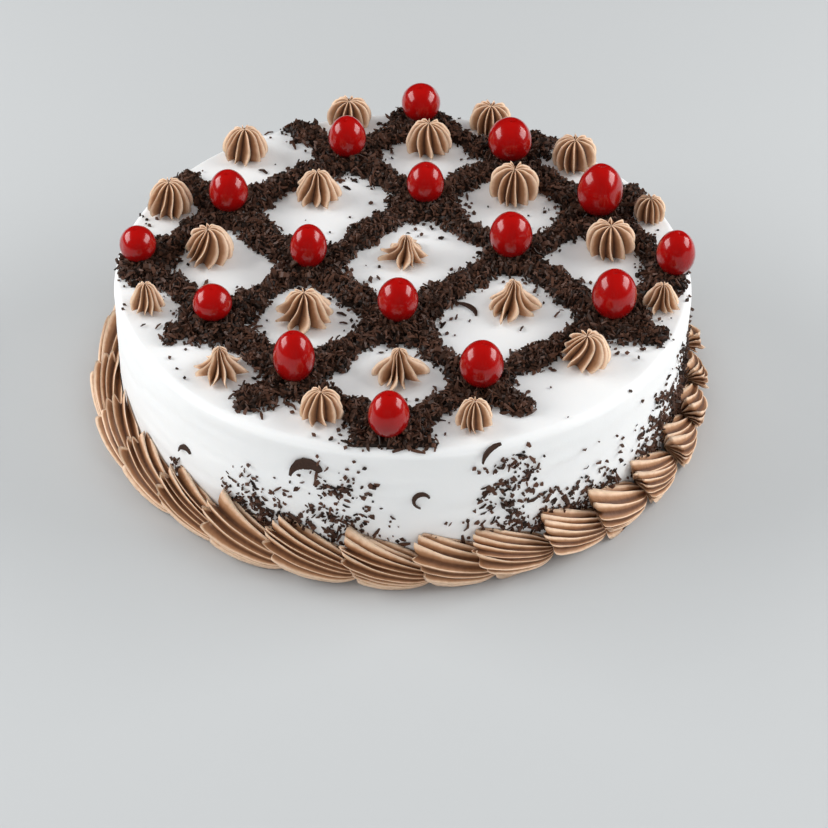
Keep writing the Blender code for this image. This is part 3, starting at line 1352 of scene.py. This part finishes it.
class ShavingShop:
    """Cuts the few shapes that each kind of shaving comes in."""

    def __init__(self, material: bpy.types.Material) -> None:
        """Keeps the chocolate that the shapes are cut from."""
        self.material = material

    def strip(self, centre: Sequence[Vector], side: Sequence[Vector], thick: float) -> Shape:
        """A ribbon with square edges.

        Args:
            centre: The middle of the ribbon at each step.
            side: Half its width at each step, as a vector across it.
            thick: Its thickness.

        Returns:
            Its points and its faces.
        """
        points = []
        for k, (middle, half) in enumerate(zip(centre, side)):
            ahead = centre[min(k + 1, len(centre) - 1)] - centre[max(k - 1, 0)]
            over = half.cross(ahead).normalized() * (-thick / 2)
            points += [middle - half - over, middle + half - over]
            points += [middle + half + over, middle - half + over]
        return points, bar_faces(len(centre), 4)

    def sliver(self, cut: ShavingCut, draw: random.Random) -> Shape:
        """A short bowed ribbon, narrower at its ends.

        Args:
            cut: The kind's sizes.
            draw: Where its uneven sizes come from.

        Returns:
            Its points and its faces.
        """
        bow = draw.uniform(0.12, 0.42) * cut.length
        twist = draw.uniform(-0.9, 0.9)
        centre, side = [], []
        for along in (-0.5, 0.0, 0.5):
            centre.append(Vector((along * cut.length, 0, bow * (0.5 - 2 * along * along))))
            half = cut.width / 2 * (1.0 if along == 0 else draw.uniform(0.35, 0.85))
            turn = twist * along
            side.append(Vector((0, half * math.cos(turn), half * math.sin(turn))))
        return self.strip(centre, side, cut.thickness)

    def flake(self, cut: ShavingCut, draw: random.Random) -> Shape:
        """A thin uneven plate with five corners, a little bent.

        Args:
            cut: The kind's sizes.
            draw: Where its uneven sizes come from.

        Returns:
            Its points and its faces.
        """
        rim = []
        for k in range(5):
            turn = TURN * (k + draw.uniform(-0.25, 0.25)) / 5
            x = cut.length / 2 * math.cos(turn) * draw.uniform(0.75, 1.1)
            y = cut.width / 2 * math.sin(turn) * draw.uniform(0.75, 1.1)
            rim.append(Vector((x, y, draw.uniform(-0.25, 0.25) * cut.length * 0.5)))
        up = Vector((0, 0, cut.thickness / 2))
        return [p - up for p in rim] + [p + up for p in rim], bar_faces(2, 5)

    def crumb(self, cut: ShavingCut, draw: random.Random) -> Shape:
        """A small broken lump.

        Args:
            cut: The kind's sizes.
            draw: Where its uneven sizes come from.

        Returns:
            Its points and its faces.
        """
        sizes = Vector((cut.length, cut.width, cut.thickness)) / 2
        points = []
        for z in (-1, 1):
            for x, y in ((-1, -1), (1, -1), (1, 1), (-1, 1)):
                corner = Vector((x * sizes.x, y * sizes.y, z * sizes.z))
                points.append(corner * draw.uniform(0.65, 1.15))
        return points, bar_faces(2, 4)

    def curl(self, cut: ShavingCut, draw: random.Random) -> Shape:
        """A shaving rolled up on itself, lying on its side.

        Args:
            cut: The kind's sizes.
            draw: Where its uneven sizes come from.

        Returns:
            Its points and its faces.
        """
        turns = draw.uniform(0.55, 0.95)
        radius = cut.length / (TURN * turns)
        centre, side = [], []
        slope = draw.uniform(-0.3, 0.3)
        for along in np.linspace(0, 1, CURL_STEPS + 1).tolist():
            turn = TURN * turns * (along - 0.5) - math.pi / 2
            opened = radius * (1 + 0.25 * along)
            half = cut.width / 2 * (1 - 0.45 * (2 * along - 1) ** 2)
            off = slope * cut.width * along
            centre.append(Vector((opened * math.cos(turn), off, opened * math.sin(turn))))
            side.append(Vector((0, half, 0)))
        return self.strip(centre, side, cut.thickness)

    def shelf(self, cut: ShavingCut) -> bpy.types.Collection:
        """Every shape of one kind, kept out of the scene.

        Args:
            cut: The kind and its sizes.

        Returns:
            A collection with one object for each shape.
        """
        kept = bpy.data.collections.new(f"shapes_{cut.kind.value}")
        for number in range(cut.variants):
            draw = random.Random(1000 + number * 17 + len(cut.kind.value))
            points, faces = getattr(self, cut.kind.value)(cut, draw)
            mesh = bpy.data.meshes.new(f"shape_{cut.kind.value}_{number}")
            mesh.from_pydata([tuple(p) for p in points], [], faces)
            mesh.materials.append(self.material)
            face_outwards(mesh, triangles=True)
            kept.objects.link(bpy.data.objects.new(mesh.name, mesh))
        return kept


class ScatterRecipe(Recipe):
    """Scatters shapes over a bed, as thickly as the bed's own numbers say."""

    def __init__(self, material: bpy.types.Material) -> None:
        """Builds the tree.

        Args:
            material: The chocolate.
        """
        super().__init__("scattered_chocolate")
        shapes, seed = self.ask("Shapes", "Collection"), self.ask("Seed", "Int")
        density, share = self.ask("Density"), self.ask("Share", "String")
        smallest, largest, lift = self.ask("Smallest"), self.ask("Largest"), self.ask("Lift")
        spots = self.step(
            "GeometryNodeDistributePointsOnFaces",
            {
                "Mesh": self.entry.outputs["Geometry"],
                "Density": density * self.recall(share),
                "Seed": seed,
            },
            distribute_method="RANDOM",
        )
        facing, tumble = spots.outputs["Rotation"], self.recall("tumble")
        up = (0.0, 0.0, 1.0)
        normal = self.value("FunctionNodeRotateVector", {"Vector": up, "Rotation": facing})
        tilt = [self.own(-1.0, 1.0, seed, which) * tumble for which in (1, 2)]
        for turn in (self.join(*tilt, 0.0), self.join(0.0, 0.0, self.own(0.0, TURN, seed, 3))):
            feeds = {
                "Rotation": facing,
                "Rotate By": self.value("FunctionNodeEulerToRotation", {"Euler": turn}),
            }
            facing = self.value("FunctionNodeRotateRotation", feeds, rotation_space="LOCAL")
        shelf = self.value(
            "GeometryNodeCollectionInfo",
            {"Collection": shapes, "Separate Children": True, "Reset Children": True},
        )
        feeds = {"Vector": normal, "Scale": lift * self.own(0.4, 1.0, seed, 5)}
        raised = self.value("ShaderNodeVectorMath", feeds, operation="SCALE")
        feeds = {"Geometry": spots.outputs["Points"], "Offset": raised}
        size = self.own(smallest, largest, seed, 4)
        copies = self.value(
            "GeometryNodeInstanceOnPoints",
            {
                "Points": self.value("GeometryNodeSetPosition", feeds),
                "Instance": shelf,
                "Pick Instance": True,
                "Rotation": facing,
                "Scale": self.join(size, size * self.own(0.75, 1.3, seed, 6), size),
            },
        )
        shade = self.own(0.0, 1.0, seed, 7)
        self.end(self.keep(copies, "shade", shade, "INSTANCE"), material)

    def own(self, low: Feed, high: Feed, seed: Field, which: int) -> Field:
        """A number of the shaving's own between low and high."""
        return self.draw(low, high, None, seed + float(which))


@dataclass(frozen=True)
class WallDrift:
    """A patch of loose chocolate on the wall: degrees round the cake and metres up."""

    first: float
    last: float
    low: float
    high: float
    thick: float


@dataclass
class ChocolateTopping:
    """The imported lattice, the shavings over it, and those that fell beside it."""

    material: bpy.types.Material
    lattice: Lattice
    drifts: Sequence[WallDrift]
    cuts: Sequence[ShavingCut]
    core_cell: float = 1.0 * MM
    core_edge: float = 0.12
    core_lap: float = 0.2 * MM
    core_foot: float = 0.5 * MM
    bed_cell: float = 1.3 * MM
    bed_lap: float = 0.15 * MM
    rim: float = 3.4 * MM
    rim_gap: float = 0.8 * MM
    cherry_foot: float = 4 * MM
    wall_slices: int = 300
    wall_rows: int = 30
    wall_lap: float = 0.25 * MM
    wall_tumble: float = 0.5
    radius: float = field(init=False)
    top: float = field(init=False)

    def __post_init__(self) -> None:
        """Takes the cake's own sizes from the frame."""
        self.radius, self.top = cake_size()

    def build(self) -> None:
        """Makes the core and then each kind of shaving."""
        self.core()
        bed = self.bed()
        recipe = ScatterRecipe(self.material)
        shop = ShavingShop(self.material)
        for number, cut in enumerate(self.cuts, 1):
            shapes = shop.shelf(cut)
            sizes = {
                "Shapes": shapes,
                "Seed": number * 10,
                "Density": cut.density,
                "Share": cut.share,
                "Smallest": cut.smallest,
                "Largest": cut.largest,
                "Lift": cut.thickness,
            }
            piece = recipe.make(f"chocolate_{cut.kind.value}s", sizes, bed.copy())
            for shape in list(shapes.objects):
                bpy.data.objects.remove(shape)
            bpy.data.collections.remove(shapes)
            register(piece, "grated_chocolate")
        bpy.data.meshes.remove(bed)

    def core(self) -> None:
        """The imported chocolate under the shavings: a closed low relief on the cream."""
        cell = self.core_cell
        count = int(2 * self.radius / cell) + 2
        ticks = (np.arange(count) - (count - 1) / 2) * cell
        x, y = np.meshgrid(ticks, ticks, indexing="ij")
        centre_x, centre_y = x[:-1, :-1] + cell / 2, y[:-1, :-1] + cell / 2
        filled = self.lattice.cover(centre_x, centre_y) > self.core_edge
        rise = self.lattice.height(x, y)
        number = -np.ones((count, count), int)
        faces = []
        used = np.zeros((count, count), bool)
        for m, n in ((0, 0), (0, 1), (1, 0), (1, 1)):
            used[m : count - 1 + m, n : count - 1 + n] |= filled
        number[used] = np.arange(used.sum())
        total = int(used.sum())
        level, foot = self.top - self.core_lap + rise[used], self.top - self.core_foot
        over = np.stack([x[used], y[used], level], axis=-1)
        under = np.stack([x[used], y[used], np.full(total, foot)], axis=-1)
        points = np.concatenate([over, under])
        for i, j in zip(*np.nonzero(filled)):
            a, b, c, d = number[i, j], number[i + 1, j], number[i + 1, j + 1], number[i, j + 1]
            faces.append((a, b, c, d))
            faces.append((d + total, c + total, b + total, a + total))
            beside = ((i, j - 1), (i + 1, j), (i, j + 1), (i - 1, j))
            for (m, n), p, q in zip(beside, (a, b, c, d), (b, c, d, a)):
                if not filled[m, n]:
                    faces.append((p, p + total, q + total, q))
        core = mesh_object("chocolate_core", points, faces, self.material)
        register(core, "grated_chocolate", "chocolate_lattice")

    def bed(self) -> bpy.types.Mesh:
        """What the shavings are scattered on.

        Returns:
            The top and the wall, with the share of each kind at each point.
        """
        cell = self.bed_cell
        count = int(2 * self.radius / cell) + 1
        ticks = (np.arange(count) - (count - 1) / 2) * cell
        x, y = np.meshgrid(ticks, ticks, indexing="ij")
        away = np.hypot(x, y)
        drop = np.clip(away - (self.radius - self.rim), 0, self.rim)
        z = self.top - self.bed_lap + self.lattice.height(x, y)
        z -= self.rim - np.sqrt(np.maximum(self.rim**2 - drop**2, 0))
        number = np.arange(count * count).reshape(count, count)
        inside = away < self.radius
        keep = inside[:-1, :-1] & inside[1:, :-1] & inside[1:, 1:] & inside[:-1, 1:]
        i, j = np.nonzero(keep)
        faces = np.stack(
            [number[i, j], number[i + 1, j], number[i + 1, j + 1], number[i, j + 1]], axis=-1
        ).tolist()
        points = np.stack([x, y, z], axis=-1).reshape(-1, 3)
        shares = self.top_shares(x.ravel(), y.ravel())
        wall_points, wall_faces, wall_shares = self.wall_bed(len(points))
        bed = bpy.data.meshes.new("bed")
        bed.from_pydata(
            np.concatenate([points, wall_points]).tolist(), [], [*faces, *wall_faces]
        )
        for name, values in shares.items():
            mark(bed, name, np.concatenate([values, wall_shares[name]]))
        return bed

    def top_shares(self, x: np.ndarray, y: np.ndarray) -> dict[str, np.ndarray]:
        """The share of each kind of shaving on the top.

        Args:
            x: Places along X.
            y: Places along Y.

        Returns:
            Each attribute's values.
        """
        cover = self.lattice.cover(x, y)
        pile = np.clip(cover / 0.25, 0, 1)
        slope = np.minimum(cover, 0)
        fringe = np.exp(slope / 0.30) * (cover <= 0)
        far = np.exp(slope / 1.6) * (cover <= 0)
        free = np.ones_like(x)
        for place_x, place_y, radius in self.lattice.hollows:
            free *= np.hypot(x - place_x, y - place_y) > radius
        for node in numbered("cherry"):
            place = middle_of(node)
            free *= np.hypot(x - place.x, y - place.y) > self.cherry_foot
        edge = np.clip((self.radius - self.rim_gap - np.hypot(x, y)) / (2 * MM), 0, 1)
        shares = {"tumble": 0.16 + 0.95 * pile}
        for cut in self.cuts:
            mixed = cut.pile * pile + cut.fringe * fringe + cut.far * far
            shares[cut.share] = mixed * free * edge
        return shares

    def wall_bed(self, offset: int) -> tuple[np.ndarray, list, dict[str, np.ndarray]]:
        """The wall's part of the bed.

        Args:
            offset: How many points the bed has already.

        Returns:
            Its points, its faces and the share of each kind at each point.
        """
        slices, rows = self.wall_slices, self.wall_rows
        angle, level = np.meshgrid(
            np.arange(slices) * TURN / slices, np.linspace(0.2, 0.95, rows), indexing="ij"
        )
        z = level * self.top
        reach = self.radius - self.wall_lap
        points = np.stack([reach * np.cos(angle), reach * np.sin(angle), z], axis=-1)
        faces = []
        for k in range(slices):
            n = (k + 1) % slices
            for row in range(rows - 1):
                a, b = offset + k * rows + row, offset + n * rows + row
                faces.append((a, b, b + 1, a + 1))
        degrees = np.degrees(angle).ravel()
        z = z.ravel()
        thick = np.zeros_like(z)
        for number, drift in enumerate(self.drifts):
            middle, half = (drift.first + drift.last) / 2, (drift.last - drift.first) / 2
            off = (degrees - middle + 180) % 360 - 180
            across = np.clip(1.3 - np.abs(off) / half * 1.3, 0, 1)
            up = np.clip((drift.high - z) / (drift.high - drift.low), 0, 1) ** 1.3
            patch = np.clip(0.7 + 0.8 * ripple(off * 1.9, z / MM, 9.0, 70 + number), 0, 1.4)
            thick = np.maximum(thick, drift.thick * across * up * patch)
        shares = {cut.share: cut.wall * thick for cut in self.cuts}
        shares["tumble"] = np.full_like(z, self.wall_tumble)
        return points.reshape(-1, 3), faces, shares


class Lying(Enum):
    """What a loose curl lies on."""

    TOP = "top"
    WALL = "wall"


@dataclass(frozen=True)
class Curl:
    """A large curl that fell by itself.

    On the top its place is X and Y in metres; on the wall, degrees round the cake and metres
    up. Spin and sweep are in degrees: where its arc starts, and how far round it goes.
    """

    lying: Lying
    place: tuple[float, float]
    spin: float
    sweep: float
    radius: float
    width: float


@dataclass
class LooseCurls:
    """The few large curls that lie apart from the lattice."""

    material: bpy.types.Material
    curls: Sequence[Curl]
    thickness: float = 0.9 * MM
    steps: int = 14
    taper: float = 0.75
    shade: float = 0.3
    top_lap: float = 0.3 * MM
    wall_lap: float = 0.4 * MM

    def frame_of(self, curl: Curl) -> Matrix:
        """Where a curl lies. Its own Z points away from the cream.

        Args:
            curl: The curl.

        Returns:
            The turn and the place.
        """
        radius, top = cake_size()
        first, second = curl.place
        if curl.lying is Lying.TOP:
            return Matrix.Translation((first, second, top - self.top_lap))
        turn = math.radians(first)
        upright = Matrix.Rotation(math.pi / 2, 4, "X")
        facing = Matrix.Rotation(turn + math.pi / 2, 4, "Z") @ upright
        reach = radius - self.wall_lap
        place = (reach * math.cos(turn), reach * math.sin(turn), second)
        return Matrix.Translation(place) @ facing

    def shape(self, curl: Curl, number: int) -> Shape:
        """A curl as a bent tapering bar that lies flat and lifts at one end.

        Args:
            curl: The curl.
            number: Which one it is, which sets its unevenness.

        Returns:
            Its points and faces, in its own space.
        """
        draw = random.Random(300 + number)
        points = []
        for k in range(self.steps + 1):
            along = k / self.steps
            turn = math.radians(curl.spin + curl.sweep * along)
            bend = curl.radius * (1 + 0.22 * along)
            narrow = 1 - self.taper * abs(2 * along - 0.9) ** 1.6
            half = max(curl.width / 2 * narrow * draw.uniform(0.9, 1.1), 0.12 * curl.width)
            lift = 0.5 * curl.width * along**2
            for off, high in ((-half, 0.0), (half, 0.0), (half, 0.7), (-half, 1.0)):
                x, y = (bend + off) * math.cos(turn), (bend + off) * math.sin(turn)
                points.append((x, y, lift + high * self.thickness))
        return points, bar_faces(self.steps + 1, 4)

    def build(self) -> None:
        """Makes every curl and joins them in one piece."""
        points, faces = [], []
        for number, curl in enumerate(self.curls):
            own, sides = self.shape(curl, number)
            lying = self.frame_of(curl)
            faces += [[corner + len(points) for corner in side] for side in sides]
            points += [tuple(lying @ Vector(point)) for point in own]
        piece = mesh_object("loose_curls", np.array(points), faces, self.material, smooth=False)
        face_outwards(piece.data)
        mark(piece.data, "shade", np.full(len(points), self.shade))
        register(piece, "grated_chocolate")


# ---- the studio ----


@dataclass
class Studio:
    """A pale floor, two wide soft lights at the sides, a soft fill and the camera."""

    floor: bpy.types.Material
    camera_place: Place = (0.0001, -0.7059, 0.5670)
    camera_aim: Place = (0.0029, -0.2957, 0.2287)
    camera_roll: float = math.radians(0.935)
    lens: float = 101.56
    sensor: float = 36.0
    side_place: Place = (0.98, 0.10, 0.56)
    side_size: tuple[float, float] = (1.0, 0.52)
    side_power: float = 9.9
    fill_place: Place = (0.0, -1.3, 0.45)
    fill_size: tuple[float, float] = (1.4, 0.6)
    fill_power: float = 4.6
    sky: float = 0.46
    sky_colour: Colour = (0.97, 0.985, 1.0)
    floor_half: float = 6.0
    floor_gap: float = 0.05 * MM

    def build(self) -> None:
        """Builds all of it."""
        self.ground()
        x, y, z = self.side_place
        for name, side in (("side_light_left", -1), ("side_light_right", 1)):
            self.light(name, (side * x, y, z), self.side_size, self.side_power, True)
        self.light("front_fill", self.fill_place, self.fill_size, self.fill_power, False)
        self.air()
        self.camera()

    def ground(self) -> None:
        """The floor that the cake stands on."""
        corners = ((-1, -1), (1, -1), (1, 1), (-1, 1))
        half = self.floor_half
        points = np.array([(x * half, y * half, -self.floor_gap) for x, y in corners])
        floor = mesh_object("studio_floor", points, [(0, 1, 2, 3)], self.floor, smooth=False)

    def light(
        self, name: str, place: Place, size: tuple[float, float], power: float, shine: bool
    ) -> None:
        """Adds a soft rectangular light that faces the cake.

        Args:
            name: Its name.
            place: Where it hangs.
            size: Its width and height.
            power: Its power in watts.
            shine: Whether it shows as a highlight on glossy things.
        """
        data = bpy.data.lights.new(name, "AREA")
        data.shape = "RECTANGLE"
        data.size, data.size_y = size
        data.energy = power
        lamp = in_scene(name, data)
        lamp.location = place
        lamp.rotation_euler = (-Vector(place)).to_track_quat("-Z", "Y").to_euler()
        lamp.visible_glossy = shine

    def air(self) -> None:
        """Even light from all round."""
        world = bpy.data.worlds.new("studio_air")
        world.use_nodes = True
        sky = world.node_tree.nodes["Background"]
        sky.inputs["Color"].default_value = (*self.sky_colour, 1.0)
        sky.inputs["Strength"].default_value = self.sky
        world.cycles_visibility.glossy = False
        bpy.context.scene.world = world
        bpy.context.scene.view_settings.view_transform = "Standard"

    def camera(self) -> None:
        """Looks down on the cake from the front."""
        data = bpy.data.cameras.new("camera")
        data.lens = self.lens
        data.sensor_width = self.sensor
        made = in_scene("camera", data)
        place = Vector(self.camera_place)
        facing = (Vector(self.camera_aim) - place).to_track_quat("-Z", "Y").to_matrix().to_4x4()
        roll = Matrix.Rotation(self.camera_roll, 4, "Z")
        made.matrix_world = Matrix.Translation(place) @ facing @ roll
        bpy.context.scene.camera = made


# ---- the whole ----


DOME, SWIRL, SKIRT, STAR = RosetteForm
ROSETTE_LOOKS = (
    (SWIRL, 46), (SKIRT, 28), (STAR, -12), (SKIRT, 20), (STAR, 18), (STAR, 34), (SWIRL, -10),
    (DOME, 6), (DOME, -5), (SKIRT, 16), (STAR, -14), (SWIRL, 4), (DOME, 8), (DOME, -4),
    (DOME, 0), (SWIRL, 22), (SWIRL, 18), (DOME, 10), (SWIRL, -4), (SWIRL, 62), (SKIRT, 10),
)

WALL_DRIFTS = tuple(
    WallDrift(first, last, low * MM, high * MM, thick)
    for first, last, low, high, thick in (
        (-141, -136, 17, 31, 0.9),
        (-128, -104, 18, 41, 1.5),
        (-110, -88, 18, 36, 0.7),
        (-109, -93, 40, 56, 1.0),
        (-90, -70, 17, 32, 0.10),
        (-74, -40, 15, 31, 2.4),
        (-77, -62, 38, 66, 1.1),
        (-60, -40, 28, 46, 0.16),
        (-42, -4, 15, 50, 2.4),
        (20, 70, 17, 32, 0.8),
        (80, 120, 17, 30, 0.25),
        (125, 165, 17, 36, 0.9),
    )
)

SHAVING_CUTS = tuple(
    ShavingCut(kind, length * MM, width * MM, thickness * MM, *rest)
    for kind, length, width, thickness, *rest in (
        (Shaving.SLIVER, 3.7, 0.95, 0.34, 9, 0.40e6, 0.5, 1.3, 1.0, 0.22, 0.010, 0.22),
        (Shaving.FLAKE, 2.3, 1.6, 0.40, 7, 0.22e6, 0.5, 1.3, 1.0, 0.25, 0.016, 0.62),
        (Shaving.CRUMB, 1.0, 0.8, 0.65, 6, 0.36e6, 0.5, 1.4, 0.8, 0.75, 0.055, 0.40),
        (Shaving.CURL, 7.0, 1.7, 0.38, 7, 0.026e6, 0.55, 1.3, 0.9, 0.5, 0.06, 2.2),
    )
)

LOOSE_CURLS = (
    Curl(Lying.WALL, (-86, 35 * MM), 20, 240, 2.6 * MM, 1.6 * MM),
    Curl(Lying.WALL, (-107, 42 * MM), 30, 150, 4.9 * MM, 4.2 * MM),
    Curl(Lying.WALL, (-135, 28 * MM), 30, 150, 2.6 * MM, 2.0 * MM),
    Curl(Lying.WALL, (-71, 50 * MM), 100, 80, 6.5 * MM, 1.9 * MM),
    Curl(Lying.TOP, (-33 * MM, -6 * MM), 60, 190, 3.6 * MM, 2.2 * MM),
    Curl(Lying.TOP, (-29 * MM, -13 * MM), 200, 150, 3.0 * MM, 1.8 * MM),
    Curl(Lying.TOP, (21 * MM, -30 * MM), 0, 110, 5.6 * MM, 2.0 * MM),
)


def main() -> None:
    """Builds the cake, piece by piece, and the studio round it."""
    chocolate_cream = ChocolateCream().make()
    grated = GratedChocolate().make()
    Studio(PaleFloor().make()).build()
    CakeBody(WhiteCream().make()).build()
    ShellBorder(chocolate_cream).build()
    Rosettes(chocolate_cream, ROSETTE_LOOKS).build()
    Cherries(CherryGlaze().make()).build()
    ChocolateTopping(grated, Lattice.from_frame(), WALL_DRIFTS, SHAVING_CUTS).build()
    LooseCurls(grated, LOOSE_CURLS).build()


if __name__ == "__main__":
    logging.basicConfig(level=logging.INFO, format="%(message)s")
    main()
